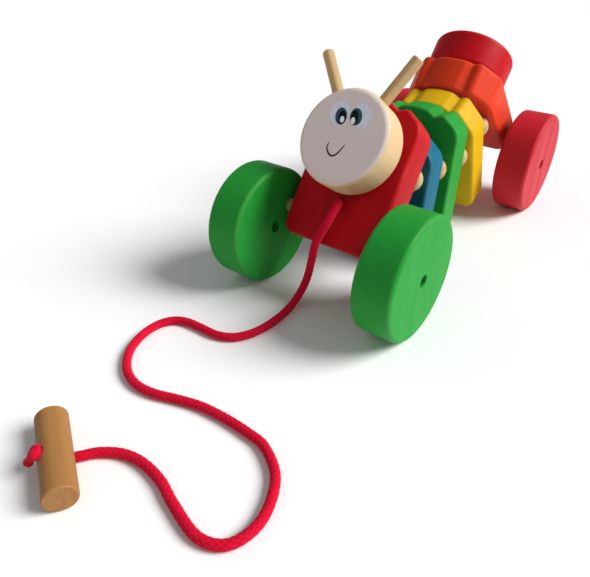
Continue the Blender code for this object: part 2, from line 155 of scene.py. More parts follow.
# ---- Camera ----


def make_camera():
    azimuth, elevation, roll = (math.radians(v) for v in (37.54, 35.69, -0.73))
    back = Vector((
        math.sin(azimuth) * math.cos(elevation),
        -math.cos(azimuth) * math.cos(elevation),
        math.sin(elevation),
    ))
    level = Vector((math.cos(azimuth), math.sin(azimuth), 0))
    upright = back.cross(level)
    right = level * math.cos(roll) + upright * math.sin(roll)
    up = upright * math.cos(roll) - level * math.sin(roll)
    data = bpy.data.cameras.new("camera")
    data.lens = 32.91
    data.shift_x = -0.0201
    data.clip_start = 0.01
    data.clip_end = 20
    camera = bpy.data.objects.new("camera", data)
    turn = Matrix((right, up, back)).transposed().to_4x4()
    camera.matrix_world = Matrix.Translation((0.1286, -0.2634, 0.1656)) @ turn
    bpy.context.scene.collection.objects.link(camera)
    bpy.context.scene.camera = camera


# ---- Mesh helpers ----


def frame_at(origin, pitch):
    """The axes of a block that leans back by pitch."""
    return Matrix.Translation(origin) @ Matrix.Rotation(-math.radians(pitch), 4, "X")


def turned(profile, segments, turn=None, closed=False):
    """Turn (radius, height) points about Z. A closed profile leaves a bore through the middle."""
    bm = bmesh.new()
    rings = []
    for radius, height in profile:
        if radius == 0:
            rings.append([bm.verts.new((0, 0, height))])
            continue
        angles = [2 * math.pi * i / segments for i in range(segments)]
        rings.append([bm.verts.new((radius * math.cos(a), radius * math.sin(a), height)) for a in angles])
    pairs = list(zip(rings, rings[1:]))
    if closed:
        pairs.append((rings[-1], rings[0]))
    for lower, upper in pairs:
        for i in range(segments):
            j = (i + 1) % segments
            below = [lower[k % len(lower)] for k in (i, j)]
            above = [upper[k % len(upper)] for k in (j, i)]
            bm.faces.new(list(dict.fromkeys(below + above)))
    if turn:
        bmesh.ops.transform(bm, matrix=turn, verts=bm.verts)
    return bm


def arc(centre_r, centre_h, radius, start, end, steps):
    """(radius, height) points round part of a circle."""
    points = []
    for i in range(steps + 1):
        a = math.radians(start + (end - start) * i / steps)
        points.append((centre_r + radius * math.sin(a), centre_h - radius * math.cos(a)))
    return points


def rounded_profile(radius, low, high, rounding, bore=0.0, lip=0.0, steps=8):
    """The outline of a short cylinder with rounded rims, and a bore with rounded lips."""
    points = []
    if bore and lip:
        points += arc(bore + lip, low + lip, lip, -90, 0, 3)
    else:
        points.append((bore, low))
    points += arc(radius - rounding, low + rounding, rounding, 0, 90, steps)
    points += arc(radius - rounding, high - rounding, rounding, 90, 180, steps)
    if bore and lip:
        points += arc(bore + lip, high - lip, lip, 180, 270, 3)
    else:
        points.append((bore, high))
    return points


def fillet(before, corner, after, radius, steps):
    """Points along the arc that rounds one corner of an outline."""
    to_before = (before - corner).normalized()
    to_after = (after - corner).normalized()
    half = to_before.angle(to_after) / 2
    middle = corner + (to_before + to_after).normalized() * radius / math.sin(half)
    start = corner + to_before * radius / math.tan(half) - middle
    end = corner + to_after * radius / math.tan(half) - middle
    sweep = start.angle_signed(end)
    return [middle + Matrix.Rotation(-sweep * i / steps, 2) @ start for i in range(steps + 1)]


def block_outline(height, shoulder):
    """A block's outline: round lower corners, and three humps with a crease between each two."""
    right = (
        (BLOCK_HALF_WIDTH, 0.0, 0.0060, 10),
        (BLOCK_HALF_WIDTH, height - shoulder, 0.0100, 12),
        (0.0165, height - 0.0015, 0.0035, 6),
        (0.0120, height - 0.0033, 0.0018, 6),
        (0.0075, height - 0.0006, 0.0035, 5),
    )
    left = tuple((-x, z, radius, steps) for x, z, radius, steps in reversed(right))
    corners = right + ((0.0, height + 0.0006, 0.0300, 4),) + left
    places = [Vector((x, z)) for x, z, _, _ in corners]
    points = []
    for i, (_, _, radius, steps) in enumerate(corners):
        after = places[(i + 1) % len(places)]
        points += fillet(places[i - 1], places[i], after, radius, steps)
    return points


def slab(outline, thickness, base):
    """Extrude an outline along Y, standing base below the origin, and round both its rims."""
    bm = bmesh.new()
    front = bm.faces.new([bm.verts.new((p.x, -thickness / 2, p.y - base)) for p in outline])
    extruded = bmesh.ops.extrude_face_region(bm, geom=[front], use_keep_orig=True)
    moved = [item for item in extruded["geom"] if isinstance(item, bmesh.types.BMVert)]
    bmesh.ops.translate(bm, verts=moved, vec=(0, thickness, 0))
    rims = [e for e in bm.edges if abs(e.verts[0].co.y - e.verts[1].co.y) < thickness / 2]
    bmesh.ops.bevel(bm, geom=rims, offset=BLOCK_ROUNDING, segments=5, profile=0.5, affect="EDGES")
    return bm


def object_from(name, bm, matrix):
    bmesh.ops.recalc_face_normals(bm, faces=bm.faces)
    mesh = bpy.data.meshes.new(name)
    bm.to_mesh(mesh)
    bm.free()
    obj = bpy.data.objects.new(name, mesh)
    obj.matrix_world = matrix
    bpy.context.scene.collection.objects.link(obj)
    return obj


def drilled(obj, holes):
    """Cut round holes, each (start, end, radius) in the object's own axes, and settle the mesh."""
    cutters = []
    for start, end, radius in holes:
        along = Vector(end) - Vector(start)
        profile = ((0, 0), (radius, 0), (radius, along.length), (0, along.length))
        turn = Vector((0, 0, 1)).rotation_difference(along).to_matrix().to_4x4()
        matrix = obj.matrix_world @ Matrix.Translation(start)
        cutter = object_from(f"{obj.name}_cutter", turned(profile, 40, turn), matrix)
        cut = obj.modifiers.new("hole", "BOOLEAN")
        cut.object = cutter
        cutters.append(cutter)
    bpy.context.view_layer.update()
    depsgraph = bpy.context.evaluated_depsgraph_get()
    mesh = bpy.data.meshes.new_from_object(obj.evaluated_get(depsgraph))
    obj.modifiers.clear()
    obj.data = mesh
    for cutter in cutters:
        bpy.data.objects.remove(cutter, do_unlink=True)
    return obj


def point_values(obj, name, value_of):
    """Store a value for each vertex, worked out from its place in the object's own axes."""
    attribute = obj.data.attributes.new(name, "FLOAT", "POINT")
    attribute.data.foreach_set("value", [value_of(v.co) for v in obj.data.vertices])


def finished(obj, material, body, stands_for=(), sharp=38.0):
    """Shade a piece, give it its material and put it on its body."""
    obj.data.materials.clear()
    obj.data.materials.append(material)
    obj.data.shade_smooth()
    obj.data.set_sharp_from_angle(angle=math.radians(sharp))
    weighted = obj.modifiers.new("normals", "WEIGHTED_NORMAL")
    weighted.keep_sharp = True
    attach(obj, body)
    if stands_for:
        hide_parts(*stands_for)
    return obj


# ---- Materials ----


def linear(red, green, blue):
    """A colour given as on a screen, 0 to 255, as the shader needs it."""
    def one(value):
        value /= 255
        return value / 12.92 if value <= 0.04045 else ((value + 0.055) / 1.055) ** 2.4

    return (one(red), one(green), one(blue), 1.0)


class Shader:
    """A Principled material with short calls for its nodes."""

    def __init__(self, name, **constants):
        self.material = bpy.data.materials.new(name)
        self.material.use_nodes = True
        self.tree = self.material.node_tree
        self.main = self.tree.nodes["Principled BSDF"]
        for socket, value in constants.items():
            self.main.inputs[socket.replace("_", " ")].default_value = value

    def node(self, kind, inputs=(), **settings):
        node = self.tree.nodes.new(kind)
        for key, value in settings.items():
            setattr(node, key, value)
        for key, value in dict(inputs).items():
            if isinstance(value, bpy.types.NodeSocket):
                self.tree.links.new(value, node.inputs[key])
            else:
                node.inputs[key].default_value = value
        return node

    def place(self, scale=(1, 1, 1), shift=(0, 0, 0)):
        """The surface's place in the object's own axes, stretched by scale."""
        where = self.node("ShaderNodeTexCoord").outputs["Object"]
        return self.node("ShaderNodeMapping", {"Vector": where, "Scale": scale, "Location": shift}).outputs[0]

    def noise(self, where, scale, detail=3.0, roughness=0.5, distortion=0.0):
        inputs = {"Vector": where, "Scale": scale, "Detail": detail, "Roughness": roughness, "Distortion": distortion}
        return self.node("ShaderNodeTexNoise", inputs).outputs["Fac"]

    def attribute(self, name):
        return self.node("ShaderNodeAttribute", attribute_name=name).outputs["Fac"]

    def spread(self, value, low, high, to_low=0.0, to_high=1.0):
        """Stretch the span low to high over to_low to to_high."""
        inputs = {"Value": value, 1: low, 2: high, 3: to_low, 4: to_high}
        return self.node("ShaderNodeMapRange", inputs, interpolation_type="SMOOTHSTEP").outputs[0]

    def maths(self, operation, a, b=0.0):
        return self.node("ShaderNodeMath", {0: a, 1: b}, operation=operation).outputs[0]

    def mix(self, share, a, b):
        node = self.node("ShaderNodeMix", data_type="RGBA")
        for index, value in ((0, share), (6, a), (7, b)):
            if isinstance(value, bpy.types.NodeSocket):
                self.tree.links.new(value, node.inputs[index])
            else:
                node.inputs[index].default_value = value
        return node.outputs[2]

    def bump(self, height, strength, distance, before=None):
        inputs = {"Height": height, "Strength": strength, "Distance": distance}
        if before:
            inputs["Normal"] = before
        return self.node("ShaderNodeBump", inputs).outputs[0]

    def done(self, colour, roughness=None, normal=None):
        links = self.tree.links
        links.new(colour, self.main.inputs["Base Color"])
        if roughness:
            links.new(roughness, self.main.inputs["Roughness"])
        if normal:
            links.new(normal, self.main.inputs["Normal"])
        return self.material


def scaled(colour, factor):
    return tuple(min(1.0, c * factor) for c in colour[:3]) + (1.0,)


def painted(name, colour, grain, shift):
    """Satin paint over sanded wood: the grain shows faintly, and the rims are thinner and paler."""
    s = Shader(name, Specular_IOR_Level=0.12, Coat_Weight=0.02, Coat_Roughness=0.32)
    along = s.place(grain, shift)
    fibres = s.noise(along, 260, 5, 0.62, 0.3)
    clouds = s.noise(s.place((1, 1, 1), shift), 42, 2, 0.5)
    pores = s.noise(along, 900, 2, 0.5)
    base = s.mix(s.spread(fibres, 0.34, 0.68), scaled(colour, 0.95), scaled(colour, 1.02))
    base = s.mix(s.spread(clouds, 0.35, 0.7, 0.0, 0.3), base, scaled(colour, 1.12))
    base = s.mix(s.spread(pores, 0.68, 0.80, 0.0, 0.2), base, scaled(colour, 0.72))
    worn = s.maths("MULTIPLY", s.attribute("rim"), s.spread(clouds, 0.38, 0.62, 0.05, 0.28))
    pale = tuple(0.86 * c + 0.14 * w for c, w in zip(colour[:3], (0.86, 0.70, 0.48))) + (1.0,)
    base = s.mix(worn, base, pale)
    rough = s.spread(s.noise(along, 120, 3, 0.6), 0.3, 0.7, 0.42, 0.58)
    normal = s.bump(fibres, 0.11, 0.0004)
    normal = s.bump(pores, 0.07, 0.0002, normal)
    return s.done(base, rough, normal)


def bare_wood(name, light, dark, grain, shift, rings=70.0, centre=(0.011, 0.004, 0.0), face=None, bold=0.45):
    """Sanded bare wood, with year rings round a line along the grain. Face adds a thin wash."""
    s = Shader(name, Specular_IOR_Level=0.3)
    along = s.place(grain, shift)
    bend = s.noise(along, 60, 3, 0.5)
    where = s.node("ShaderNodeVectorMath", {0: s.place(grain, centre), 1: (0, 0, 0)}, operation="ADD")
    direction = "XYZ"[min(range(3), key=lambda i: grain[i])]
    wave = s.node(
        "ShaderNodeTexWave",
        {"Vector": where.outputs[0], "Scale": rings, "Distortion": 2.2, "Detail": 2.0, "Detail Scale": 1.3},
        wave_type="RINGS",
        rings_direction=direction,
    ).outputs["Fac"]
    fibres = s.noise(along, 420, 4, 0.65)
    pores = s.noise(along, 1400, 2, 0.5)
    base = s.mix(s.spread(wave, 0.15, 0.95, 0.0, bold), light, dark)
    base = s.mix(s.spread(bend, 0.35, 0.7, 0.0, 0.35), base, scaled(light, 1.06))
    base = s.mix(s.spread(fibres, 0.45, 0.75, 0.0, 0.30), base, scaled(dark, 0.9))
    base = s.mix(s.spread(pores, 0.66, 0.78, 0.0, 0.30), base, scaled(dark, 0.65))
    if face:
        thin = s.maths("MULTIPLY", s.attribute("wash"), s.spread(fibres, 0.2, 0.75, 0.97, 0.90))
        base = s.mix(thin, base, face)
    rough = s.spread(fibres, 0.3, 0.7, 0.5, 0.66)
    normal = s.bump(fibres, 0.18, 0.0004)
    normal = s.bump(pores, 0.12, 0.0002, normal)
    return s.done(base, rough, normal)


def face_paint(name, colour, roughness):
    s = Shader(name, Specular_IOR_Level=0.15)
    streaks = s.noise(s.place((1, 1, 0.5)), 900, 3, 0.6)
    base = s.mix(s.spread(streaks, 0.3, 0.7), scaled(colour, 0.86), scaled(colour, 1.08))
    return s.done(base, s.spread(streaks, 0.3, 0.7, roughness - 0.05, roughness + 0.08), s.bump(streaks, 0.1, 0.0001))


def braided_cotton(name, colour):
    """Soft cotton: painted shade between the strands, with fine fibres across them."""
    s = Shader(name, Specular_IOR_Level=0.08, Sheen_Weight=0.06, Sheen_Roughness=0.45)
    crown = s.attribute("crown")
    where = s.place()
    fibres = s.noise(where, 4200, 3, 0.7)
    patches = s.noise(where, 160, 2, 0.5)
    # painted shade: darker in the grooves between the strands, lighter on their crowns
    base = s.mix(s.spread(crown, 0.1, 0.85), scaled(colour, 0.60), scaled(colour, 1.08))
    base = s.mix(s.spread(fibres, 0.4, 0.75, 0.0, 0.4), base, scaled(colour, 1.5))
    base = s.mix(s.spread(patches, 0.35, 0.7, 0.0, 0.25), base, scaled(colour, 0.75))
    return s.done(base, s.spread(fibres, 0.3, 0.7, 0.72, 0.9), s.bump(fibres, 0.35, 0.00012))


def woven_elastic(name, colour):
    s = Shader(name, Specular_IOR_Level=0.25, Sheen_Weight=0.2)
    threads = s.noise(s.place((1, 0.3, 1)), 3000, 3, 0.6)
    base = s.mix(s.spread(threads, 0.3, 0.7), scaled(colour, 0.7), colour)
    return s.done(base, s.spread(threads, 0.3, 0.7, 0.6, 0.8), s.bump(threads, 0.3, 0.0002))


ALONG_X = (0.10, 1, 1)
ALONG_Y = (1, 0.10, 1)
ALONG_Z = (1, 1, 0.10)

GREEN = linear(34, 148, 52)
RED = linear(186, 8, 22)
ROSE = linear(194, 34, 48)
BLUE = linear(16, 102, 128)
YELLOW = linear(216, 172, 12)
ORANGE = linear(220, 60, 28)
CORD_RED = linear(206, 12, 48)
PALE = linear(222, 192, 148)
PALE_DARK = linear(200, 162, 112)
DOWEL_LIGHT = linear(200, 168, 120)
DOWEL_DARK = linear(170, 136, 90)
HANDLE_LIGHT = linear(164, 116, 64)
HANDLE_DARK = linear(134, 90, 46)
WASH = linear(226, 212, 210)

PAINTS = {
    "front_block": painted("front_block_paint", RED, ALONG_Z, (0.1, 0.2, 0.3)),
    "rear_block": painted("rear_block_paint", ORANGE, ALONG_Z, (0.5, 0.1, 0.7)),
    "blue_plate": painted("blue_plate_paint", BLUE, ALONG_Z, (0.8, 0.6, 0.2)),
    "green_plate": painted("green_plate_paint", GREEN, ALONG_Z, (0.3, 0.9, 0.1)),
    "yellow_plate": painted("yellow_plate_paint", YELLOW, ALONG_Z, (0.6, 0.4, 0.9)),
    "tail_disc": painted("tail_disc_paint", RED, ALONG_Z, (0.2, 0.7, 0.5)),
    "front_wheel": painted("front_wheel_paint", GREEN, ALONG_Z, (0.4, 0.3, 0.8)),
    "rear_wheel": painted("rear_wheel_paint", ROSE, ALONG_Z, (0.9, 0.5, 0.4)),
}
HEAD_WOOD = bare_wood("head_wood_washed", PALE, PALE_DARK, ALONG_Y, (0.1, 0.1, 0.1), face=WASH)
DOWEL_WOOD = bare_wood("dowel_wood", DOWEL_LIGHT, DOWEL_DARK, ALONG_Z, (0.4, 0.2, 0.6), rings=120.0)
AXLE_WOOD = bare_wood("axle_wood", DOWEL_LIGHT, DOWEL_DARK, ALONG_X, (0.3, 0.5, 0.2), rings=120.0)
BEAD_WOOD = bare_wood("bead_wood", DOWEL_LIGHT, DOWEL_DARK, ALONG_Y, (0.7, 0.3, 0.1), rings=110.0)
HANDLE_WOOD = bare_wood("handle_wood_bare", HANDLE_LIGHT, HANDLE_DARK, ALONG_X, (0.2, 0.8, 0.4), rings=95.0, bold=0.28)
COTTON = braided_cotton("cord_cotton", CORD_RED)
ELASTIC = woven_elastic("elastic_weave", linear(226, 222, 208))


# ---- The cord and its knots ----


def smooth_route(route, spacing, fine=40):
    """Points at an even spacing along a smooth curve through the route."""
    knots = [Vector(p) for p in route]
    knots = [2 * knots[0] - knots[1]] + knots + [2 * knots[-1] - knots[-2]]
    dense = []
    for a, b, c, d in zip(knots, knots[1:], knots[2:], knots[3:]):
        for i in range(fine):
            t = i / fine
            bend = (2 * a - 5 * b + 4 * c - d) * t**2 + (3 * b - a - 3 * c + d) * t**3
            dense.append(b + ((c - a) * t + bend) / 2)
    dense.append(knots[-2])
    reached = [0.0]
    for p, q in zip(dense, dense[1:]):
        reached.append(reached[-1] + (q - p).length)
    count = round(reached[-1] / spacing)
    points = []
    k = 0
    for i in range(count + 1):
        wanted = reached[-1] * i / count
        while k < len(dense) - 2 and reached[k + 1] < wanted:
            k += 1
        share = (wanted - reached[k]) / (reached[k + 1] - reached[k])
        points.append(dense[k].lerp(dense[k + 1], min(share, 1.0)))
    return points


STRANDS = 6
STRAND_PITCH = 0.0026
STRAND_HEIGHT = 0.00022


def braid(around, along):
    """How high a two-way braid stands at a place: 0 between the strands, 1 on their crowns."""
    one = STRANDS * around + along / STRAND_PITCH
    two = STRANDS * around - along / STRAND_PITCH
    across = one - math.floor(one) - 0.5
    beyond = two - math.floor(two) - 0.5
    if (math.floor(one) + math.floor(two)) % 2:
        across, beyond = beyond, across
    return math.sqrt(max(0.0, 1 - (2 * across) ** 2)) * (1 - 0.45 * (2 * beyond) ** 2)


def braided_tube(name, points, radius, sides=40, flare=0.0):
    """A braided cord along points, with closed ends. Flare frays the last few millimetres."""
    bm = bmesh.new()
    # the crown height also sets the cotton's painted shade between the strands
    crown = bm.verts.layers.float.new("crown")
    tangents = []
    for i in range(len(points)):
        a, b = points[max(i - 1, 0)], points[min(i + 1, len(points) - 1)]
        tangents.append((b - a).normalized())
    side = tangents[0].orthogonal().normalized()
    rings = []
    along = 0.0
    for i, (point, tangent) in enumerate(zip(points, tangents)):
        if i:
            along += (point - points[i - 1]).length
            side = (side - tangent * side.dot(tangent)).normalized()
        other = tangent.cross(side)
        left = len(points) - 1 - i
        swell = 1 + flare * max(0.0, 1 - left / 8) ** 1.5
        ring = []
        for j in range(sides):
            angle = 2 * math.pi * j / sides
            height = braid(j / sides, along)
            reach = (radius - STRAND_HEIGHT * (1 - height)) * swell
            vert = bm.verts.new(point + (side * math.cos(angle) + other * math.sin(angle)) * reach)
            vert[crown] = height
            ring.append(vert)
        rings.append(ring)
    for lower, upper in zip(rings, rings[1:]):
        for j in range(sides):
            k = (j + 1) % sides
            bm.faces.new((lower[j], lower[k], upper[k], upper[j]))
    for ring, point, sign in ((rings[0], points[0], -1), (rings[-1], points[-1], 1)):
        tip = bm.verts.new(point + tangents[0 if sign < 0 else -1] * sign * radius * 0.25)
        for j in range(sides):
            bm.faces.new((ring[j], ring[(j + 1) % sides], tip))
    return object_from(name, bm, Matrix.Identity(4))


def back_of(pitch):
    return Vector((0, math.cos(math.radians(pitch)), -math.sin(math.radians(pitch))))


def up_of(pitch):
    return Vector((0, math.sin(math.radians(pitch)), math.cos(math.radians(pitch))))


def handle_through():
    """The direction of the handle's cross hole, from its upper mouth down to the one facing the toy."""
    turn = math.radians(HANDLE_TURN)
    roll = math.radians(HANDLE_ROLL)
    return Vector((-math.sin(turn) * math.cos(roll), math.cos(turn) * math.cos(roll), math.sin(roll)))


def wound_knot(name, start, along, tail, wind, length, thickness):
    """A pulled-tight overhand knot: the cord winds round itself once and a half and leaves as a tail."""
    side = along.orthogonal().normalized()
    other = along.cross(side)
    route = [start + along * thickness * 0.6]
    turns = 10
    for i in range(turns + 1):
        share = i / turns
        angle = 2 * math.pi * 1.45 * share
        reach = wind * min(1.0, 0.45 + 1.6 * share) if share < 0.85 else wind * 0.9
        height = thickness * 0.9 + (length - 1.8 * thickness) * share
        route.append(start + along * height + (side * math.cos(angle) + other * math.sin(angle)) * reach)
    route.append(start + along * (length * 0.62) - tail * 0.0002)
    route.append(route[-1] + tail * 0.0035)
    route.append(route[-1] + tail * 0.0035)
    points = smooth_route(route, 0.0004)
    return braided_tube(name, points, thickness, sides=28, flare=0.22)


def make_pull_cord():
    back = back_of(PITCHES[0])
    hole = FRONT_AXLE + up_of(PITCHES[0]) * (CORD_HOLE_HEIGHT - FRONT_AXLE_HEIGHT)
    wall = END_THICKNESS / 2
    through = handle_through()
    handle = Vector((*HANDLE_MIDDLE, HANDLE_RADIUS))
    route = [hole + back * wall, hole, hole - back * (wall + GAP)] + list(CORD_ROUTE)
    route += [handle + through * HANDLE_RADIUS, handle, handle - through * HANDLE_RADIUS]
    points = smooth_route(route, 0.00035)
    cord = braided_tube("braided_cord", points, CORD_RADIUS)
    finished(cord, COTTON, "front_body", ["pull_cord"], sharp=80)
    inner = wound_knot("inner_knot", hole + back * (wall + GAP), back, Vector((0.35, -0.55, -0.76)), 0.0024, 0.0048, 0.0015)
    finished(inner, COTTON, "front_body", ["pull_cord_inner_knot"], sharp=80)
    above = handle - through * (HANDLE_RADIUS - 0.0009)
    outer = wound_knot("handle_knot", above, -through, Vector((-0.45, -0.30, -0.84)), 0.0017, 0.0040, 0.0015)
    finished(outer, COTTON, "front_body", ["pull_cord_handle_knot"], sharp=80)
    handle_piece = make_handle()


def make_handle():
    half = HANDLE_LENGTH / 2
    place = Matrix.Translation((*HANDLE_MIDDLE, HANDLE_RADIUS))
    place = place @ Matrix.Rotation(math.radians(HANDLE_TURN), 4, "Z")
    shape = turned(rounded_profile(HANDLE_RADIUS, -half, half, 0.0007, steps=5), 72, TO_X)
    handle = object_from("turned_handle", shape, place)
    roll = math.radians(HANDLE_ROLL)
    beyond = Vector((0, math.cos(roll), math.sin(roll))) * (HANDLE_RADIUS + 0.004)
    drilled(handle, [(-beyond, beyond, CORD_HOLE_RADIUS)])
    return finished(handle, HANDLE_WOOD, "front_body", ["pull_handle"])


# ---- Wooden pieces ----


def slab_rim(thickness):
    def value_of(place):
        depth = (abs(place.y) - (thickness / 2 - BLOCK_ROUNDING)) / BLOCK_ROUNDING
        return math.sin(math.pi * min(max(depth, 0.0), 1.0))

    return value_of


def disc_rim(axis, radius, low, high, rounding):
    def value_of(place):
        reach = math.hypot(*(place[i] for i in range(3) if i != axis))
        out = (reach - (radius - rounding)) / rounding
        deep = max(place[axis] - (high - rounding), (low + rounding) - place[axis]) / rounding
        return min(max(1.4 * min(out, deep), 0.0), 1.0)

    return value_of


def string_holes(height, thickness):
    beyond = thickness / 2 + 0.004
    return [((x, -beyond, height), (x, beyond, height), STRING_HOLE_RADIUS) for x in (STRING_X, -STRING_X)]


def make_block(name, body, origin, pitch, height, shoulder, base, thickness, middle=0.0, holes=()):
    matrix = frame_at(origin, pitch) @ Matrix.Translation((0, middle, 0))
    block = object_from(f"{name}_body", slab(block_outline(height, shoulder), thickness, base), matrix)
    drilled(block, list(holes) + string_holes(STRING_HEIGHT - base, thickness))
    point_values(block, "rim", slab_rim(thickness))
    return finished(block, PAINTS[name], body, [name])


def make_blocks():
    side = BLOCK_HALF_WIDTH + 0.004
    beyond = END_THICKNESS / 2 + 0.004
    across = ((-side, 0, 0), (side, 0, 0), AXLE_RADIUS + GAP)
    cord_height = CORD_HOLE_HEIGHT - FRONT_AXLE_HEIGHT
    cord_hole = ((0, -beyond, cord_height), (0, beyond, cord_height), CORD_HOLE_RADIUS)
    make_block(
        "front_block", "front_body", FRONT_AXLE, PITCHES[0], BLOCK_HEIGHT, 0.0090, FRONT_AXLE_HEIGHT,
        END_THICKNESS, 0.0, (across, cord_hole),
    )
    make_block(
        "rear_block", "rear_body", REAR_AXLE, PITCHES[4], BLOCK_HEIGHT, 0.0150, REAR_AXLE_HEIGHT,
        END_THICKNESS, 0.0, (across,),
    )
    middle = BEAD_RADIUS + GAP + PLATE_THICKNESS / 2
    plates = (("blue", 0.0638, 0.0090), ("green", 0.0730, 0.0090), ("yellow", 0.0712, 0.0150))
    for i, (colour, height, shoulder) in enumerate(plates):
        make_block(
            f"{colour}_plate", f"{colour}_body", HINGES[i], PITCHES[i + 1], height, shoulder, STRING_HEIGHT,
            PLATE_THICKNESS, middle,
        )


def make_discs():
    near = END_THICKNESS / 2 + GAP
    far = near + DISC_THICKNESS
    head_height = HEAD_HEIGHT - FRONT_AXLE_HEIGHT
    matrix = frame_at(FRONT_AXLE, PITCHES[0]) @ Matrix.Translation((0, 0, head_height))
    shape = turned(rounded_profile(HEAD_RADIUS, -far, -near, DISC_ROUNDING), 128, TO_Y)
    head = object_from("head_body", shape, matrix)
    centre = Vector((0, -(near + DISC_THICKNESS / 2), 0))
    sockets = []
    for _, lean, reach in ANTENNAE:
        outward = Vector((math.sin(math.radians(lean)), 0, math.cos(math.radians(lean))))
        inner = centre + outward * (HEAD_RADIUS - ANTENNA_DEPTH - GAP)
        sockets.append((inner, centre + outward * (HEAD_RADIUS + reach), ANTENNA_RADIUS + GAP))
    drilled(head, sockets)
    point_values(head, "wash", lambda place: min(max(1.1 - (place.y + far) / 0.0013, 0.0), 1.0))
    finished(head, HEAD_WOOD, "front_body", ["head_disc"])
    tail_height = TAIL_HEIGHT - REAR_AXLE_HEIGHT
    matrix = frame_at(REAR_AXLE, PITCHES[4]) @ Matrix.Translation((0, 0, tail_height))
    shape = turned(rounded_profile(TAIL_RADIUS, near, far, DISC_ROUNDING), 128, TO_Y)
    tail = object_from("tail_body", shape, matrix)
    point_values(tail, "rim", disc_rim(1, TAIL_RADIUS, near, far, DISC_ROUNDING))
    finished(tail, PAINTS["tail_disc"], "rear_body", ["tail_disc"])


def make_antennae():
    middle = -(END_THICKNESS / 2 + GAP + DISC_THICKNESS / 2)
    height = HEAD_HEIGHT - FRONT_AXLE_HEIGHT
    for side, lean, reach in ANTENNAE:
        profile = rounded_profile(ANTENNA_RADIUS, HEAD_RADIUS - ANTENNA_DEPTH, HEAD_RADIUS + reach, 0.0008, steps=5)
        place = Matrix.Translation((0, middle, height)) @ Matrix.Rotation(math.radians(lean), 4, "Y")
        antenna = object_from(f"antenna_dowel_{side}", turned(profile, 48), frame_at(FRONT_AXLE, PITCHES[0]) @ place)
        finished(antenna, DOWEL_WOOD, "front_body", [f"antenna_{side}"])


def make_wheels():
    half = WHEEL_INNER_FACE + AXLE_DEPTH
    for end, axle, wheel_y, slot in (
        ("front", FRONT_AXLE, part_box("front_wheel_left"), "green_paint"),
        ("rear", REAR_AXLE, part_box("rear_wheel_left"), "red_paint"),
    ):
        low, high = wheel_y
        centre = Vector((0, (low.y + high.y) / 2, (low.z + high.z) / 2))
        dowel = object_from(
            f"{end}_axle_dowel",
            turned(rounded_profile(AXLE_RADIUS, -half, half, 0.0006, steps=4), 48, TO_X),
            Matrix.Translation(axle),
        )
        finished(dowel, AXLE_WOOD, f"{end}_wheelset", [f"{end}_axle"])
        for side, sign in (("left", 1), ("right", -1)):
            near, far = sorted((sign * WHEEL_INNER_FACE, sign * (WHEEL_INNER_FACE + WHEEL_WIDTH)))
            profile = rounded_profile(WHEEL_RADIUS, near, far, WHEEL_ROUNDING, HUB_BORE_RADIUS, 0.0004, 9)
            wheel = object_from(f"{end}_disc_wheel_{side}", turned(profile, 144, TO_X, closed=True), Matrix.Translation(centre))
            mouth = Vector((sign * (WHEEL_INNER_FACE - 0.004), 0, 0)) + axle - centre
            bottom = Vector((sign * (half + GAP), 0, 0)) + axle - centre
            drilled(wheel, [(mouth, bottom, AXLE_RADIUS + GAP)])
            point_values(wheel, "rim", disc_rim(0, WHEEL_RADIUS, near, far, WHEEL_ROUNDING))
            finished(wheel, PAINTS[f"{end}_wheel"], f"{end}_wheelset", [f"{end}_wheel_{side}"])


def make_beads():
    mouth = math.degrees(math.asin(BEAD_BORE_RADIUS / BEAD_RADIUS)) + 3
    profile = arc(0, 0, BEAD_RADIUS, mouth, 180 - mouth, 24)
    lip = profile[0][1] + 0.0006
    profile = [(BEAD_BORE_RADIUS, lip)] + profile + [(BEAD_BORE_RADIUS, -lip)]
    for i, hinge in enumerate(HINGES):
        lean = (PITCHES[i] + PITCHES[i + 1]) / 2
        for side, x in (("left", STRING_X), ("right", -STRING_X)):
            name = f"bead_{i + 1}_{side}"
            spin = Matrix.Rotation(math.radians(67 * i + (31 if x < 0 else 0)), 4, "Y")
            matrix = frame_at(hinge + Vector((x, 0, 0)), lean) @ spin
            bead = object_from(f"{name}_ball", turned(profile, 48, TO_Y, closed=True), matrix)
            finished(bead, BEAD_WOOD, f"{name}_body", [name])


def make_strings():
    """Elastic between the middles of each two blocks; each length bends across one hinge."""
    for i, hinge in enumerate(HINGES):
        before, after = PITCHES[i], PITCHES[i + 1]
        thick_before = END_THICKNESS if i == 0 else PLATE_THICKNESS
        thick_after = END_THICKNESS if i == 3 else PLATE_THICKNESS
        reach = BEAD_RADIUS + GAP
        start = hinge - back_of(before) * (reach + (thick_before * (0.7 if i == 0 else 0.5)))
        end = hinge + back_of(after) * (reach + (thick_after * (0.7 if i == 3 else 0.5)))
        for side, x in (("left", STRING_X), ("right", -STRING_X)):
            shift = Vector((x, 0, 0))
            route = [start, hinge - back_of(before) * 0.0045, hinge, hinge + back_of(after) * 0.0045, end]
            points = smooth_route([p + shift for p in route], 0.0006)
            string = braided_tube(f"elastic_{i + 1}_{side}", points, STRING_RADIUS, sides=16)
            string.data.materials.append(ELASTIC)
            string.data.shade_smooth()
            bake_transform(string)
            if i == 0:
                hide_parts(f"elastic_string_{side}")


# ---- The face ----


def oval(centre, long_half, short_half, lean, narrow=0.0, count=64):
    """An egg-shaped outline on the face; narrow pinches its lower end."""
    points = []
    for i in range(count):
        a = 2 * math.pi * i / count
        u = long_half * math.cos(a)
        v = short_half * math.sin(a) * (1 + narrow * math.cos(a))
        lean_a = math.radians(lean)
        points.append((
            centre[0] + u * math.cos(lean_a) - v * math.sin(lean_a),
            centre[1] + u * math.sin(lean_a) + v * math.cos(lean_a),
        ))
    return points


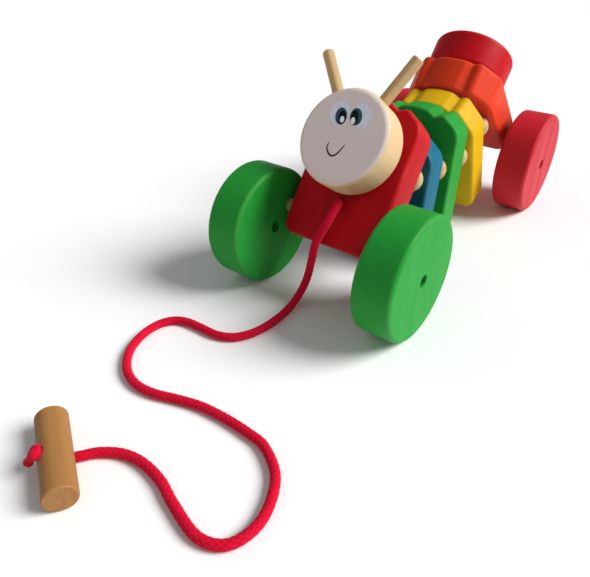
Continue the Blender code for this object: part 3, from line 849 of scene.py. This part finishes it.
def stroke(points, width):
    """The outline of a brush stroke along points, thin at both ends."""
    middle = smooth_route([(x, z, 0) for x, z in points], 0.0003)
    left, right = [], []
    for i, p in enumerate(middle):
        a, b = middle[max(i - 1, 0)], middle[min(i + 1, len(middle) - 1)]
        along = (b - a).normalized()
        across = Vector((-along.y, along.x, 0))
        share = i / (len(middle) - 1)
        half = width / 2 * (0.35 + 0.65 * math.sin(math.pi * share) ** 0.6)
        left.append(p + across * half)
        right.append(p - across * half)
    return [(p.x, p.y) for p in left + list(reversed(right))]


def make_mark(name, outline, layer, material):
    """A thin coat of paint on the head's face. Later layers lie on top of earlier ones."""
    face = -(END_THICKNESS / 2 + GAP + DISC_THICKNESS)
    height = HEAD_HEIGHT - FRONT_AXLE_HEIGHT
    top = face - 0.00004 - 0.00004 * layer
    bm = bmesh.new()
    front = [bm.verts.new((x, top, z)) for x, z in outline]
    rear = [bm.verts.new((x, face + 0.0001, z)) for x, z in outline]
    bm.faces.new(front)
    bm.faces.new(list(reversed(rear)))
    for i in range(len(outline)):
        j = (i + 1) % len(outline)
        bm.faces.new((front[i], front[j], rear[j], rear[i]))
    mark = object_from(name, bm, frame_at(FRONT_AXLE, PITCHES[0]) @ Matrix.Translation((0, 0, height)))
    finished(mark, material, "front_body")


def make_face():
    white = face_paint("eye_white", linear(224, 226, 240), 0.5)
    iris = face_paint("eye_iris", linear(40, 84, 92), 0.5)
    glint = face_paint("eye_glint", linear(250, 250, 252), 0.5)
    pupil = face_paint("eye_pupil", linear(6, 7, 10), 0.45)
    line = face_paint("smile_line", linear(44, 26, 24), 0.45)
    make_mark("eye_white_right", oval((-0.0052, 0.0095), 0.0057, 0.0050, 113, -0.05), 0, white)
    make_mark("eye_white_left", oval((0.0061, 0.0104), 0.0057, 0.0045, 113, -0.05), 0, white)
    make_mark("eye_iris_right", oval((-0.0039, 0.0083), 0.0039, 0.0029, 113), 1, iris)
    make_mark("eye_iris_left", oval((0.0035, 0.0094), 0.0039, 0.0029, 113), 1, iris)
    make_mark("eye_pupil_right", oval((-0.0031, 0.0079), 0.0030, 0.0018, 110), 2, pupil)
    make_mark("eye_pupil_left", oval((0.0029, 0.0091), 0.0030, 0.0018, 110), 2, pupil)
    make_mark("eye_glint_right", oval((-0.0028, 0.0070), 0.0015, 0.0010, 108), 3, glint)
    make_mark("eye_glint_left", oval((0.0027, 0.0075), 0.0015, 0.0010, 108), 3, glint)
    smile = (
        (-0.0051, -0.0040),
        (-0.0054, -0.0061),
        (-0.0042, -0.0081),
        (-0.0026, -0.0093),
        (-0.0010, -0.0094),
        (0.0006, -0.0082),
        (0.0019, -0.0059),
        (0.0031, -0.0034),
    )
    make_mark("smile", stroke(smile, 0.0008), 0, line)


# ---- Studio ----


def soft_sun(name, towards, strength, spread):
    """A broad, even light from the direction towards."""
    data = bpy.data.lights.new(name, "SUN")
    data.energy = strength
    data.angle = math.radians(spread)
    light = bpy.data.objects.new(name, data)
    light.rotation_euler = Vector(towards).to_track_quat("Z", "Y").to_euler()
    bpy.context.scene.collection.objects.link(light)


def make_studio():
    bm = bmesh.new()
    bmesh.ops.create_grid(bm, x_segments=1, y_segments=1, size=12.0)
    floor = object_from("floor", bm, Matrix.Identity(4))
    s = Shader("floor_paper", Specular_IOR_Level=0.1)
    tooth = s.noise(s.place(), 900, 3, 0.6)
    colour = s.mix(s.spread(tooth, 0.3, 0.7), linear(250, 250, 250), linear(253, 253, 253))
    floor.data.materials.append(s.done(colour, s.spread(tooth, 0.3, 0.7, 0.82, 0.9)))
    world = bpy.data.worlds.new("studio")
    world.use_nodes = True
    world.node_tree.nodes["Background"].inputs["Color"].default_value = (0.97, 0.98, 1.0, 1.0)
    world.node_tree.nodes["Background"].inputs["Strength"].default_value = 0.25
    bpy.context.scene.world = world
    soft_sun("key", (0.70, 0.42, 0.66), 3.9, 30)
    soft_sun("fill", (-0.6, -0.5, 0.7), 0.12, 60)
    view = bpy.context.scene.view_settings
    view.view_transform = "Standard"


make_camera()
make_pull_cord()
make_wheels()
make_blocks()
make_discs()
make_antennae()
make_beads()
make_strings()
make_face()
make_studio()
